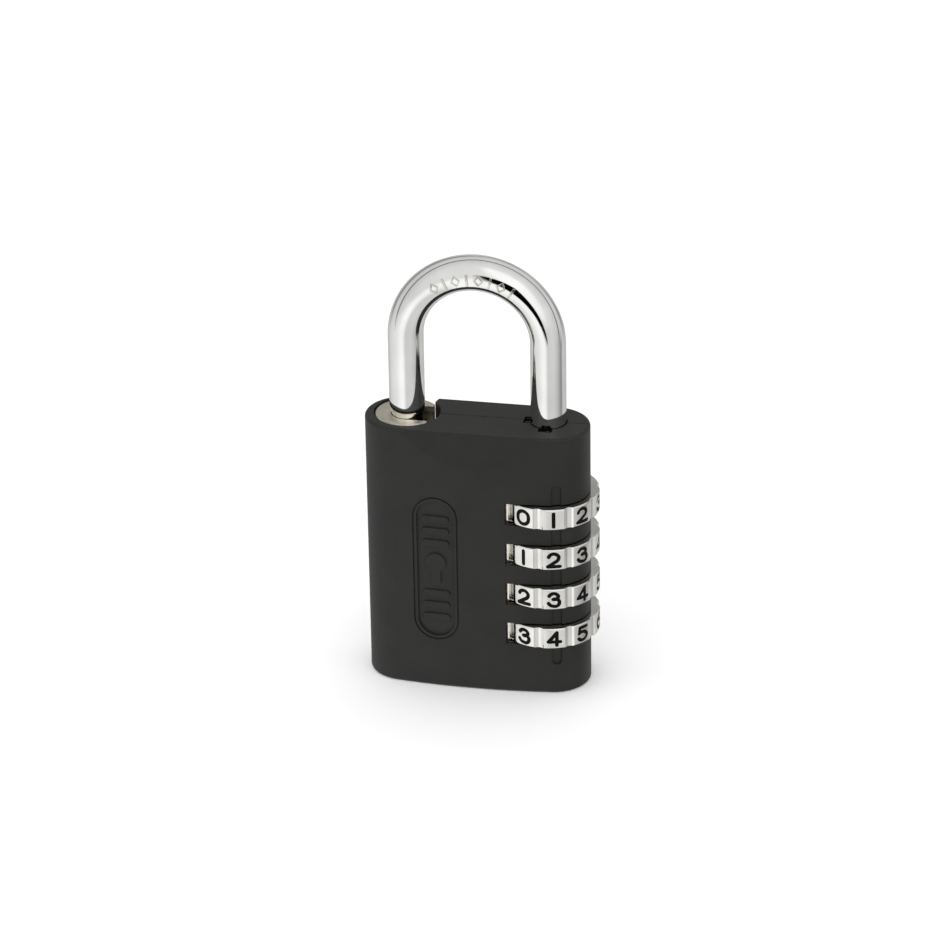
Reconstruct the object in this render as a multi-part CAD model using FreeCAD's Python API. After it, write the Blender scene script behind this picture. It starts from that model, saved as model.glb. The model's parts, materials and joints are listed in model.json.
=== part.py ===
"""Four-wheel combination padlock with a key release, as separate solids in STEP files, in millimetres.

X runs from the toe of the shackle to its heel, Y from the front to the back, Z up along the legs.
The origin is on the flat base, midway between the legs, in the plane that both legs stand in.
The heel leg runs down through four number wheels. Its fins pass a wheel's hub only where the hub has its
gate, so the shackle lifts when every gate is in line. The toe stands in a slotted rotor that a key turns.
"""

import math
import os

import FreeCAD
import Part

V = FreeCAD.Vector

# ---- shackle
SHACKLE_DIAMETER = 8.0
SHACKLE_SPACING = 32.0  # between the legs' axes
SHACKLE_CLEAR_HEIGHT = 31.0  # body top to the inside of the bend
SHACKLE_LIFT_REST_GAP = 0.3  # a fin stands this far under its gate
TOE_NECK_STEP = 0.45  # the toe's neck is this much thinner than the leg, in radius
TOE_NECK_DEPTH = 7.2
TOE_SHOULDER_GAP = 1.2  # between the rotor's top and the shoulder
TIP_CHAMFER = 0.6

# ---- fins and gates
FIN_DEPTH = 1.2  # how far a fin stands out of the heel leg
FIN_WIDTH = 2.6
FIN_HEIGHT = 2.2
KEYWAY_SIDE_CLEARANCE = 0.3
KEYWAY_TIP_CLEARANCE = 0.25
INDEX_FIN_DROP = 0.4  # the index fin stands this far under the guide bush

# ---- number wheels
WHEELS = 4
DIGITS = 10
CODE = (4, 3, 2, 1)  # the digits on the index line, lowest wheel first
RING_PITCH = 10.0
RING_HEIGHT = 5.0
RING_PROUD = 1.9  # how far the rings stand out of the body's end
RING_EDGE_CHAMFER = 0.2
INDEX_ANGLE = 15.0  # of the index line round the wheels, from the front towards the end
SCALLOP_RADIUS = 1.45
SCALLOP_DEPTH = 0.6
HUB_WALL = 1.65
HUB_HEIGHT = 3.5
GATE_PLATE = 1.3
CLUTCH_DEPTH = 0.55
CLUTCH_WIDTH = 1.0
CLUTCH_HEIGHT = 1.2
WAVE_SPRING_THICKNESS = 0.4
WAVE_SPRING_WIDTH = 0.85
DIGIT_HALF_WIDTH = 1.35  # to the middle of the stroke
DIGIT_HALF_HEIGHT = 1.6
DIGIT_STROKE = 0.86
DIGIT_DEPTH = 0.35
INFILL_DEPTH = 0.12  # the paint lies this far under the ring's face

# ---- jacket
SHELL_WALL = 1.2
SHELL_GAP = 0.1  # between the jacket and the core
SEAM_GAP = 0.18  # between the two halves of the jacket
CORE_SKIN_FRONT = 0.45  # metal in front of the toe pocket
CORE_SKIN_BACK = 0.5  # metal behind the guide bush
END_MARGIN = 0.9  # from a leg's axis out to the centre of the body's round end
FRONT_BOW = 1.0  # the front face bulges by this much
EDGE_RADIUS = 0.7
WINDOW_CLEARANCE = 0.2  # above and below a ring
WINDOW_RADIAL_CLEARANCE = 1.65
SCOOP_HEIGHT = 8.3
SCOOP_DEPTH = 0.9
INDEX_LINE_WIDTH = 2.2
INDEX_LINE_DEPTH = 0.4
INDEX_LINE_OVERRUN = 4.9  # past the outer wheels' windows
BADGE_WIDTH = 10.4
BADGE_HEIGHT = 36.0
BADGE_LINE_WIDTH = 0.35
BADGE_LINE_DEPTH = 0.35
BADGE_LIP_WIDTH = 0.6
BADGE_DEPTH = 0.5
BADGE_RELIEF = 0.35
BADGE_CENTRE_X = -8.2
BADGE_BAR = (6.2, 1.6)
BADGE_BAR_STEP = 3.0
BADGE_BARS_EACH_SIDE = 3
PEG_RADIUS = 0.8
PEG_CLEARANCE = 0.05
PEG_BITE = 0.6
PEG_SKIN = 1.1  # metal between the rotor's bore and the outer peg
PEG_INSET = 5.0  # of the end pegs, from the core's top and bottom

# ---- core and what it holds
BASE_BLOCK = 12.2  # from the base to the lowest wheel bay's floor
TOP_BLOCK = 16.2  # from the highest wheel bay's ceiling to the top of the body
LEG_CLEARANCE = 0.2
BAY_CLEARANCE = 0.3
BAY_RADIAL_CLEARANCE = 0.35
HUB_CLEARANCE = 0.1
GUIDE_BUSH_HEIGHT = 2.5
GUIDE_BUSH_WALL = 0.55
PLUG_HEIGHT = 2.0
SPRING_POCKET_DEPTH = 12.0
LIFT_SPRING_WIRE = 0.6
LIFT_SPRING_TURNS = 9
HEEL_END_GAP = 1.3  # between the heel's end and the plug at the bottom of its bore
CLIP_THICKNESS = 0.8
CLIP_GROOVE_DEPTH = 0.8
SPRING_POCKET_WALL = 0.5  # metal between the clip's groove and the spring's pocket
CLIP_RISE = 0.6  # from the heel's end to the clip
CLICK_STRIP = 0.35
CLICK_STRIP_SET_BACK = 1.2  # from the bays' wall to the strip's near face
CLICK_NOSE_RADIUS = 0.8
CLICK_NOSE_GAP = 0.05
CLICK_STRIP_WIDTH = 4.0
CLICK_SLOT_CLEARANCE = 0.15

# ---- toe rotor and key cylinder
ROTOR_RIM = 3.6  # from the slot's edge to the disc's edge
SLOT_CLEARANCE = 0.15
ROTOR_CLEARANCE = 0.15
ROTOR_FLAT = 5.2  # the disc is cut off flat this far from its axis, on the slot's side
ROTOR_DISC_DROP = 0.3
ROTOR_SHAFT_RADIUS = 4.6
ROTOR_GROOVE_HEIGHT = 2.0
ROTOR_GROOVE_DROP = 6.0  # from under the disc to the middle of the groove
RETAINING_PIN_RADIUS = 0.9
RETAINING_PIN_INSET = 0.5  # of its ends from the core's faces
BEARING_CLEARANCE = 0.05
EXIT_FLARE = 0.25  # the exit widens by this much each way for each millimetre towards the back
EXIT_HALF_WIDTH = 3.9
PLUG_LENGTH = 23.0
PLUG_FACE_RADIUS = 5.6
PLUG_FACE_THICKNESS = 1.6
PLUG_FACE_DROP = 0.3
TONGUE_WIDTH = 2.4
TONGUE_HEIGHT = 3.0
KEYWAY_WIDTH = 1.3
KEYWAY_LENGTH = 6.4
KEYWAY_DEPTH = 20.0
PINS = 4
PIN_RADIUS = 0.9
PIN_PITCH = 3.6
FIRST_PIN = 5.5
KEY_PIN_LENGTHS = (2.0, 2.5, 1.7, 2.2)
DRIVER_PIN_LENGTH = 2.6
PIN_SPRING_LENGTH = 3.4
PIN_SPRING_WIRE = 0.25
PIN_SPRING_TURNS = 5
CHAMBER_CAP_THICKNESS = 0.8

# ---- worked out
LEG_RADIUS = SHACKLE_DIAMETER / 2
TOE_X, HEEL_X = -SHACKLE_SPACING / 2, SHACKLE_SPACING / 2
BEND_RADIUS = SHACKLE_SPACING / 2
FIN_RADIUS = LEG_RADIUS + FIN_DEPTH
KEYWAY_RADIUS = FIN_RADIUS + KEYWAY_TIP_CLEARANCE
CHAMBER_RADIUS = FIN_RADIUS + KEYWAY_TIP_CLEARANCE
LEG_BORE_RADIUS = LEG_RADIUS + LEG_CLEARANCE
SPRING_POCKET_RADIUS = LEG_RADIUS - CLIP_GROOVE_DEPTH - SPRING_POCKET_WALL
TOE_NECK_RADIUS = LEG_RADIUS - TOE_NECK_STEP
SLOT_HALF_WIDTH = TOE_NECK_RADIUS + SLOT_CLEARANCE
ROTOR_RADIUS = SLOT_HALF_WIDTH + ROTOR_RIM
ROTOR_POCKET_RADIUS = ROTOR_RADIUS + ROTOR_CLEARANCE
GUIDE_BUSH_RADIUS = CHAMBER_RADIUS + GUIDE_BUSH_WALL
CORE_INSET = SHELL_WALL + SHELL_GAP
FRONT_DEPTH = ROTOR_POCKET_RADIUS + CORE_SKIN_FRONT + CORE_INSET
BACK_DEPTH = GUIDE_BUSH_RADIUS + CORE_SKIN_BACK + CORE_INSET
END_RADIUS = (FRONT_DEPTH + BACK_DEPTH) / 2
END_Y = (BACK_DEPTH - FRONT_DEPTH) / 2
END_X = HEEL_X + END_MARGIN
BODY_HALF_WIDTH = END_X + END_RADIUS
BAY_HEIGHT = RING_HEIGHT + 2 * BAY_CLEARANCE
BODY_HEIGHT = BASE_BLOCK + (WHEELS - 1) * RING_PITCH + BAY_HEIGHT + TOP_BLOCK
CORE_BOTTOM, CORE_TOP = CORE_INSET, BODY_HEIGHT - CORE_INSET
RING_RADIUS = BODY_HALF_WIDTH - HEEL_X + RING_PROUD
BAY_RADIUS = RING_RADIUS + BAY_RADIAL_CLEARANCE
HUB_RADIUS = CHAMBER_RADIUS + HUB_WALL
RING_BORE_RADIUS = HUB_RADIUS + HUB_CLEARANCE
LIFT = RING_PITCH  # a fin travels from its own hub to the next one up
BEND_Z = BODY_HEIGHT + SHACKLE_CLEAR_HEIGHT + LEG_RADIUS - BEND_RADIUS
BUSH_BOTTOM = CORE_TOP - GUIDE_BUSH_HEIGHT
HEEL_PLUG_TOP = CORE_BOTTOM + PLUG_HEIGHT
HEEL_END = HEEL_PLUG_TOP + HEEL_END_GAP
CLIP_BOTTOM = HEEL_END + CLIP_RISE
CLIP_RADIUS = FIN_RADIUS - 0.1
ROTOR_TOP = BODY_HEIGHT - ROTOR_DISC_DROP
TOE_SHOULDER = ROTOR_TOP + TOE_SHOULDER_GAP
TOE_TIP = TOE_SHOULDER - TOE_NECK_DEPTH
ROTOR_SLOT_FLOOR = TOE_TIP - 0.5
ROTOR_DISC_BOTTOM = ROTOR_SLOT_FLOOR - 0.3
PLUG_TOP = PLUG_FACE_DROP + PLUG_LENGTH
ROTOR_SHAFT_BOTTOM = PLUG_TOP + 0.2
SHEAR_RADIUS = ROTOR_SHAFT_RADIUS
ROTOR_BORE_RADIUS = ROTOR_SHAFT_RADIUS + BEARING_CLEARANCE
BADGE_CENTRE_Z = BASE_BLOCK + ((WHEELS - 1) * RING_PITCH + BAY_HEIGHT) / 2
EPS = 0.01
FAR = 200.0


def wheel_z(i):
    """Height of the middle of wheel i, 0 for the lowest."""
    return BASE_BLOCK + BAY_HEIGHT / 2 + i * RING_PITCH


def cylinder(radius, bottom, top, x, y=0.0):
    """A vertical cylinder."""
    return Part.makeCylinder(radius, top - bottom, V(x, y, bottom))


def block(x0, x1, y0, y1, z0, z1):
    """A box between two corners."""
    return Part.makeBox(x1 - x0, y1 - y0, z1 - z0, V(x0, y0, z0))


def turned(shape, angle, x):
    """A copy turned about the vertical line through x."""
    copy = shape.copy()
    copy.rotate(V(x, 0, 0), V(0, 0, 1), angle)
    return copy


def body_outline(inset):
    """The body's plan: a flat back, a bowed front and two round ends, all inset by the same amount."""
    radius = END_RADIUS - inset
    bow = (END_X**2 + FRONT_BOW**2) / (2 * FRONT_BOW) + END_RADIUS
    bow_y = bow - FRONT_DEPTH - FRONT_BOW
    slope = math.atan2(END_X, bow_y - END_Y)
    reach = bow - inset
    tangent = V(reach * math.sin(slope), bow_y - reach * math.cos(slope), 0)
    front = V(0, bow_y - reach, 0)
    back = END_Y + radius

    def mirror(p):
        return V(-p.x, p.y, 0)

    end, corner = V(END_X + radius, END_Y, 0), V(END_X, back, 0)
    edges = [
        Part.LineSegment(mirror(corner), corner),
        Part.Arc(corner, end, tangent),
        Part.Arc(tangent, front, mirror(tangent)),
        Part.Arc(mirror(tangent), mirror(end), mirror(corner)),
    ]
    return Part.Wire([e.toShape() for e in edges])


def body_solid(inset, bottom, top):
    """The body's plan, inset, as an upright solid."""
    face = Part.Face(body_outline(inset))
    face.translate(V(0, 0, bottom))
    return face.extrude(V(0, 0, top - bottom))


def oblong(width, height, x, z):
    """An upright oblong prism that runs along Y, with round ends on its longer side's ends."""
    radius = min(width, height) / 2
    dx, dz = width / 2 - radius, height / 2 - radius
    ends = [
        Part.makeCylinder(radius, FAR, V(x + s * dx, -FAR, z + s * dz), V(0, 1, 0)) for s in (-1, 1)
    ]
    middle = block(
        x - max(dx, EPS) if dx else x - radius,
        x + max(dx, EPS) if dx else x + radius,
        -FAR,
        0,
        z - dz if dz else z - radius,
        z + dz if dz else z + radius,
    )
    return middle.fuse(ends)


def across(radius, x, z):
    """A long cylinder that runs along Y."""
    return Part.makeCylinder(radius, 2 * FAR, V(x, -FAR, z), V(0, 1, 0))


def bearing_keyways(bottom, top, side, tip):
    """The heel's hole with its two keyways: one in front for lifting, one towards the toe for setting a code."""
    half = FIN_WIDTH / 2 + side
    hole = cylinder(LEG_BORE_RADIUS, bottom, top, HEEL_X)
    front = block(HEEL_X - half, HEEL_X + half, -tip, 0, bottom, top)
    inward = block(HEEL_X - tip, HEEL_X, -half, half, bottom, top)
    return hole.fuse([front, inward])


def coil(radius, wire, bottom, length, turns, x):
    """A compression spring standing on a level."""
    pitch = (length - wire) / turns
    helix = Part.makeHelix(pitch, length - wire, radius)
    section = Part.Wire(Part.Circle(V(radius, 0, 0), V(0, 1, 0), wire / 2).toShape())
    spring = Part.Wire(helix).makePipeShell([section], True, True)
    spring.translate(V(x, 0, bottom + wire / 2))
    return spring


def exit_gap(bottom):
    """The way out to the back for the toe, once its rotor is turned."""
    far = EXIT_HALF_WIDTH + EXIT_FLARE * FAR
    corners = [(-EXIT_HALF_WIDTH, 0), (EXIT_HALF_WIDTH, 0), (far, FAR), (-far, FAR)]
    points = [V(TOE_X + x, y, bottom) for x, y in corners]
    return Part.Face(Part.makePolygon(points + points[:1])).extrude(V(0, 0, FAR))


# ---- jacket


def scoop():
    """A shallow thumb relief: a leaning flat across the top of the bowed front."""
    tilt = math.degrees(math.atan2(SCOOP_DEPTH, SCOOP_HEIGHT))
    slab = block(-FAR, FAR, -FAR, 0, -FAR, FAR)
    slab.rotate(V(0, 0, 0), V(1, 0, 0), -tilt)
    slab.translate(V(0, -FRONT_DEPTH - FRONT_BOW + SCOOP_DEPTH, BODY_HEIGHT))
    return slab.common(block(-FAR, FAR, -FAR, 0, BODY_HEIGHT - 2 * SCOOP_HEIGHT, BODY_HEIGHT + FAR))


def badge_relief():
    """A generic raised mark for the badge: a keyhole between two rows of bars."""
    bar_width, bar_height = BADGE_BAR
    keyhole = 1.8 * bar_height
    parts = [
        Part.makeCylinder(keyhole * 0.8, FAR, V(BADGE_CENTRE_X, -FAR, BADGE_CENTRE_Z + keyhole / 2), V(0, 1, 0)),
        oblong(bar_height * 1.4, keyhole * 2, BADGE_CENTRE_X, BADGE_CENTRE_Z - keyhole / 2),
    ]
    for side in (-1, 1):
        for n in range(BADGE_BARS_EACH_SIDE):
            offset = side * (2.2 * keyhole + n * BADGE_BAR_STEP)
            parts.append(oblong(bar_width, bar_height, BADGE_CENTRE_X, BADGE_CENTRE_Z + offset))
    return parts[0].fuse(parts[1:])


def badge_cuts():
    """The badge's outline groove and, inside its lip, the field with the raised mark left standing."""
    lip, field = BADGE_LINE_WIDTH, BADGE_LINE_WIDTH + BADGE_LIP_WIDTH
    outline, inside, middle = (
        oblong(BADGE_WIDTH - 2 * inset, BADGE_HEIGHT - 2 * inset, BADGE_CENTRE_X, BADGE_CENTRE_Z)
        for inset in (0, lip, field)
    )
    groove, floor, crest = (
        body_solid(depth, -1, BODY_HEIGHT + 1)
        for depth in (BADGE_LINE_DEPTH, BADGE_DEPTH, BADGE_DEPTH - BADGE_RELIEF)
    )
    return [outline.cut([inside, groove]), middle.cut(floor.fuse(badge_relief().common(crest)))]


def peg_places():
    """Where the front shell's pegs cross the core, as X and Z."""
    inward = (chamber_end() + CHAMBER_CAP_THICKNESS + click_strip_x()) / 2
    outward = TOE_X - ROTOR_BORE_RADIUS - PEG_SKIN - PEG_RADIUS
    low, high = CORE_BOTTOM + PEG_INSET, CORE_TOP - PEG_INSET
    return [(inward, low), (inward, BADGE_CENTRE_Z), (inward, high), (outward, BADGE_CENTRE_Z)]


def jacket():
    """The two halves of the moulded jacket."""
    outer = body_solid(0, 0, BODY_HEIGHT)
    rims = [e for e in outer.Edges if abs(e.BoundBox.ZMax - e.BoundBox.ZMin) < EPS]
    outer = outer.makeFillet(EDGE_RADIUS, rims).cut(scoop())
    cavity = body_solid(SHELL_WALL, SHELL_WALL, BODY_HEIGHT - SHELL_WALL)
    whole = outer.cut(cavity)

    cuts = [
        cylinder(ROTOR_POCKET_RADIUS + SHELL_GAP / 2, ROTOR_DISC_BOTTOM, BODY_HEIGHT + 1, TOE_X),
        bearing_keyways(CORE_TOP, BODY_HEIGHT + 1, KEYWAY_SIDE_CLEARANCE, KEYWAY_RADIUS + 0.1),
        cylinder(PLUG_FACE_RADIUS + 0.2, -1, CORE_BOTTOM, TOE_X),
        exit_gap(ROTOR_SLOT_FLOOR),
    ]
    half = RING_HEIGHT / 2 + WINDOW_CLEARANCE
    radius = RING_RADIUS + WINDOW_RADIAL_CLEARANCE
    cuts += [cylinder(radius, wheel_z(i) - half, wheel_z(i) + half, HEEL_X) for i in range(WHEELS)]
    whole = whole.cut(cuts)

    line_x = HEEL_X + RING_RADIUS * math.sin(math.radians(INDEX_ANGLE)) + 0.2
    line_low = wheel_z(0) - half - INDEX_LINE_OVERRUN
    line_high = wheel_z(WHEELS - 1) + half + INDEX_LINE_OVERRUN
    line = oblong(INDEX_LINE_WIDTH, line_high - line_low, line_x, (line_high + line_low) / 2)
    line = line.cut(body_solid(INDEX_LINE_DEPTH, -1, BODY_HEIGHT + 1))
    whole = whole.cut([line] + badge_cuts())

    front = whole.common(block(-FAR, FAR, -FAR, -SEAM_GAP / 2, -FAR, FAR))
    rear = whole.common(block(-FAR, FAR, SEAM_GAP / 2, FAR, -FAR, FAR))
    reach = body_solid(SHELL_WALL - PEG_BITE, 0, BODY_HEIGHT)
    socket_reach = body_solid(SHELL_WALL - PEG_BITE - PEG_CLEARANCE, 0, BODY_HEIGHT)
    for x, z in peg_places():
        front = front.fuse(across(PEG_RADIUS, x, z).common(reach))
        socket = across(PEG_RADIUS + PEG_CLEARANCE, x, z).common(socket_reach)
        rear = rear.cut(socket)
    return {"front_shell": front.removeSplitter(), "rear_shell": rear.removeSplitter()}


# ---- core


def click_slot():
    """Where the click spring stands, beside the wheel bays and open to the back."""
    strip = click_strip_x()
    front = click_nose()[1] - CLICK_STRIP_WIDTH / 2 - CLICK_SLOT_CLEARANCE
    low, high = BASE_BLOCK - 3, wheel_z(WHEELS - 1) + BAY_HEIGHT / 2 + 3
    deep = block(strip - CLICK_SLOT_CLEARANCE, HEEL_X - BAY_RADIUS + 1.5, front, FAR, low + 1.5, high - 1.5)
    grip = block(strip - EPS, strip + CLICK_STRIP + EPS, front, FAR, low, high)
    return deep.fuse(grip)


def click_strip_x():
    """The near face of the click spring's strip."""
    return HEEL_X - BAY_RADIUS - CLICK_STRIP_SET_BACK


def click_nose():
    """Where the click spring's noses stand, as X and Y."""
    angle = math.radians(INDEX_ANGLE - 90.0)
    reach = RING_RADIUS + CLICK_NOSE_GAP + CLICK_NOSE_RADIUS
    return HEEL_X + reach * math.sin(angle), -reach * math.cos(angle)


def pin_z(n):
    """Height of tumbler pin n."""
    return FIRST_PIN + n * PIN_PITCH


def chamber_end():
    """Where the tumbler pins' chambers end, in X."""
    return TOE_X + SHEAR_RADIUS + DRIVER_PIN_LENGTH + PIN_SPRING_LENGTH


def along_x(radius, x0, x1, z):
    """A cylinder that runs along X in the legs' plane."""
    return Part.makeCylinder(radius, x1 - x0, V(x0, 0, z), V(1, 0, 0))


def core():
    """The zinc casting that everything is mounted in."""
    bays = [
        cylinder(BAY_RADIUS, wheel_z(i) - BAY_HEIGHT / 2, wheel_z(i) + BAY_HEIGHT / 2, HEEL_X)
        for i in range(WHEELS)
    ]
    top_bay = wheel_z(WHEELS - 1) + BAY_HEIGHT / 2
    chamber_floor = wheel_z(WHEELS - 1) + LIFT - FIN_HEIGHT - 0.4
    heel = [
        cylinder(CHAMBER_RADIUS, CORE_BOTTOM - 1, BASE_BLOCK + 1, HEEL_X),
        bearing_keyways(BASE_BLOCK, top_bay + TOP_BLOCK, KEYWAY_SIDE_CLEARANCE, KEYWAY_RADIUS),
        cylinder(CHAMBER_RADIUS, chamber_floor, CORE_TOP + 1, HEEL_X),
        cylinder(GUIDE_BUSH_RADIUS, BUSH_BOTTOM, CORE_TOP + 1, HEEL_X),
    ]
    toe = [
        cylinder(ROTOR_POCKET_RADIUS, ROTOR_DISC_BOTTOM - 0.2, CORE_TOP + 1, TOE_X),
        cylinder(ROTOR_BORE_RADIUS, CORE_BOTTOM - 1, ROTOR_DISC_BOTTOM, TOE_X),
        cylinder(PLUG_FACE_RADIUS + 0.1, CORE_BOTTOM - 1, PLUG_FACE_DROP + PLUG_FACE_THICKNESS + 0.1, TOE_X),
        exit_gap(ROTOR_SLOT_FLOOR),
        across(RETAINING_PIN_RADIUS, *retaining_pin_place()),
    ]
    chambers = [
        along_x(PIN_RADIUS + BEARING_CLEARANCE, TOE_X, chamber_end() + EPS, pin_z(n)) for n in range(PINS)
    ]
    pegs = [across(PEG_RADIUS + PEG_CLEARANCE, x, z) for x, z in peg_places()]
    casting = body_solid(CORE_INSET, CORE_BOTTOM, CORE_TOP)
    return casting.cut(bays + heel + toe + chambers + pegs + [click_slot(), chamber_cap_slot()])


def retaining_pin_place():
    """Where the pin that lies in the rotor's groove crosses the core, as X and Z."""
    return TOE_X - ROTOR_SHAFT_RADIUS, ROTOR_DISC_BOTTOM - ROTOR_GROOVE_DROP


def chamber_cap_slot():
    """The slot for the strip that closes the pins' chambers, open to the front."""
    x = chamber_end()
    low, high = pin_z(0) - 2, pin_z(PINS - 1) + 2
    return block(x, x + CHAMBER_CAP_THICKNESS, -FAR, 2.0, low, high)


def core_fittings():
    """The small fixed pieces in the core."""
    bush = cylinder(GUIDE_BUSH_RADIUS, BUSH_BOTTOM, CORE_TOP, HEEL_X)
    bush = bush.cut(bearing_keyways(BUSH_BOTTOM - 1, CORE_TOP + 1, KEYWAY_SIDE_CLEARANCE, KEYWAY_RADIUS))
    plug = cylinder(CHAMBER_RADIUS, CORE_BOTTOM, HEEL_PLUG_TOP, HEEL_X)
    spring_length = HEEL_END_GAP + SPRING_POCKET_DEPTH
    lift_spring = coil(
        SPRING_POCKET_RADIUS - LIFT_SPRING_WIRE / 2 - 0.15,
        LIFT_SPRING_WIRE,
        HEEL_PLUG_TOP,
        spring_length,
        LIFT_SPRING_TURNS,
        HEEL_X,
    )
    cap_x = chamber_end()
    cap = block(
        cap_x, cap_x + CHAMBER_CAP_THICKNESS, -FRONT_DEPTH + CORE_INSET, 2.0, pin_z(0) - 2, pin_z(PINS - 1) + 2
    )
    pin = across(RETAINING_PIN_RADIUS, *retaining_pin_place())
    pin = pin.common(body_solid(CORE_INSET + RETAINING_PIN_INSET, 0, BODY_HEIGHT))
    return {
        "heel_guide_bush": bush,
        "heel_bore_plug": plug,
        "lift_spring": lift_spring,
        "pin_chamber_cap": cap,
        "rotor_retaining_pin": pin,
        "click_spring": click_spring(),
        "wheel_springs": wheel_springs(),
    }


def click_spring():
    """A strip of spring steel with one round nose for each wheel."""
    strip = click_strip_x()
    low, high = BASE_BLOCK - 3, wheel_z(WHEELS - 1) + BAY_HEIGHT / 2 + 3
    nose_x, nose_y = click_nose()
    plate = block(
        strip, strip + CLICK_STRIP, nose_y - CLICK_STRIP_WIDTH / 2, nose_y + CLICK_STRIP_WIDTH / 2, low, high
    )
    half = RING_HEIGHT / 2 - 1.0
    parts = []
    for i in range(WHEELS):
        z = wheel_z(i)
        parts.append(cylinder(CLICK_NOSE_RADIUS, z - half, z + half, nose_x, nose_y))
        stem = CLICK_NOSE_RADIUS * 0.8
        parts.append(block(strip, nose_x, nose_y - stem, nose_y + stem, z - half, z + half))
    gaps = [
        block(
            strip - 1,
            strip + CLICK_STRIP + EPS,
            nose_y + CLICK_STRIP_WIDTH / 2 - 1.2,
            nose_y + CLICK_STRIP_WIDTH,
            wheel_z(i) + half + 0.6,
            wheel_z(i) + RING_PITCH - half - 0.6,
        )
        for i in range(WHEELS - 1)
    ]
    return plate.fuse(parts).cut(gaps)


def wheel_springs():
    """A coned spring washer under each hub."""
    inner = CHAMBER_RADIUS + 0.05
    outer = inner + WAVE_SPRING_WIDTH
    rise = BAY_HEIGHT - BAY_CLEARANCE + 0.1 - HUB_HEIGHT - WAVE_SPRING_THICKNESS - 0.1
    washers = []
    for i in range(WHEELS):
        floor = wheel_z(i) - BAY_HEIGHT / 2
        corners = [
            (outer, floor),
            (outer, floor + WAVE_SPRING_THICKNESS),
            (inner, floor + rise + WAVE_SPRING_THICKNESS),
            (inner, floor + rise),
        ]
        points = [V(HEEL_X + r, 0, z) for r, z in corners]
        section = Part.Face(Part.makePolygon(points + points[:1]))
        washers.append(section.revolve(V(HEEL_X, 0, 0), V(0, 0, 1), 360))
    return Part.makeCompound(washers)


# ---- shackle


def fin(bottom):
    """One fin on the front of the heel leg."""
    raw = block(
        HEEL_X - FIN_WIDTH / 2, HEEL_X + FIN_WIDTH / 2, -FIN_RADIUS - 1, 0, bottom, bottom + FIN_HEIGHT
    )
    return raw.common(cylinder(FIN_RADIUS, bottom, bottom + FIN_HEIGHT, HEEL_X))


def gate_plate_bottom(i):
    """The underside of wheel i's gate plate."""
    return hub_top(i) - GATE_PLATE


def hub_top(i):
    """The top of wheel i's hub."""
    return wheel_z(i) + RING_HEIGHT / 2 + BAY_CLEARANCE - 0.2


def shackle():
    """The bent rod with its fins, its thinner toe and the pocket in its heel."""
    centre = V(0, 0, BEND_Z)
    bend = Part.makeTorus(BEND_RADIUS, LEG_RADIUS, centre, V(0, 1, 0))
    bend = bend.common(block(-FAR, FAR, -FAR, FAR, BEND_Z, FAR))
    toe = cylinder(LEG_RADIUS, TOE_SHOULDER, BEND_Z, TOE_X)
    neck = cylinder(TOE_NECK_RADIUS, TOE_TIP, TOE_SHOULDER, TOE_X)
    tip = neck.Edges[0] if abs(neck.Edges[0].BoundBox.ZMax - TOE_TIP) < EPS else neck.Edges[-1]
    neck = neck.makeChamfer(TIP_CHAMFER, [tip])
    heel = cylinder(LEG_RADIUS, HEEL_END, BEND_Z, HEEL_X)
    bottoms = [gate_plate_bottom(i) - SHACKLE_LIFT_REST_GAP - FIN_HEIGHT for i in range(WHEELS)]
    bottoms.append(BUSH_BOTTOM - INDEX_FIN_DROP - FIN_HEIGHT)
    rod = bend.fuse([toe, neck, heel] + [fin(b) for b in bottoms])
    groove = cylinder(LEG_RADIUS + 1, CLIP_BOTTOM, CLIP_BOTTOM + CLIP_THICKNESS + 0.1, HEEL_X)
    groove = groove.cut(cylinder(LEG_RADIUS - CLIP_GROOVE_DEPTH, CLIP_BOTTOM - 1, CLIP_BOTTOM + 2, HEEL_X))
    pocket = cylinder(SPRING_POCKET_RADIUS, HEEL_END - 1, HEEL_END + SPRING_POCKET_DEPTH, HEEL_X)
    return rod.cut([groove, pocket]).removeSplitter()


def heel_clip():
    """The open spring clip that keeps the heel in the body."""
    ring = cylinder(CLIP_RADIUS, CLIP_BOTTOM + 0.05, CLIP_BOTTOM + 0.05 + CLIP_THICKNESS, HEEL_X)
    bore = cylinder(LEG_RADIUS - CLIP_GROOVE_DEPTH + 0.02, CLIP_BOTTOM - 1, CLIP_BOTTOM + 2, HEEL_X)
    half = (LEG_RADIUS - CLIP_GROOVE_DEPTH) * 0.7
    mouth = block(HEEL_X - half, HEEL_X + half, 0, FAR, CLIP_BOTTOM - 1, CLIP_BOTTOM + 2)
    return ring.cut([bore, mouth])


# ---- number wheels

HW, HH = DIGIT_HALF_WIDTH, DIGIT_HALF_HEIGHT
ROUND = HH - HW
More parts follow.
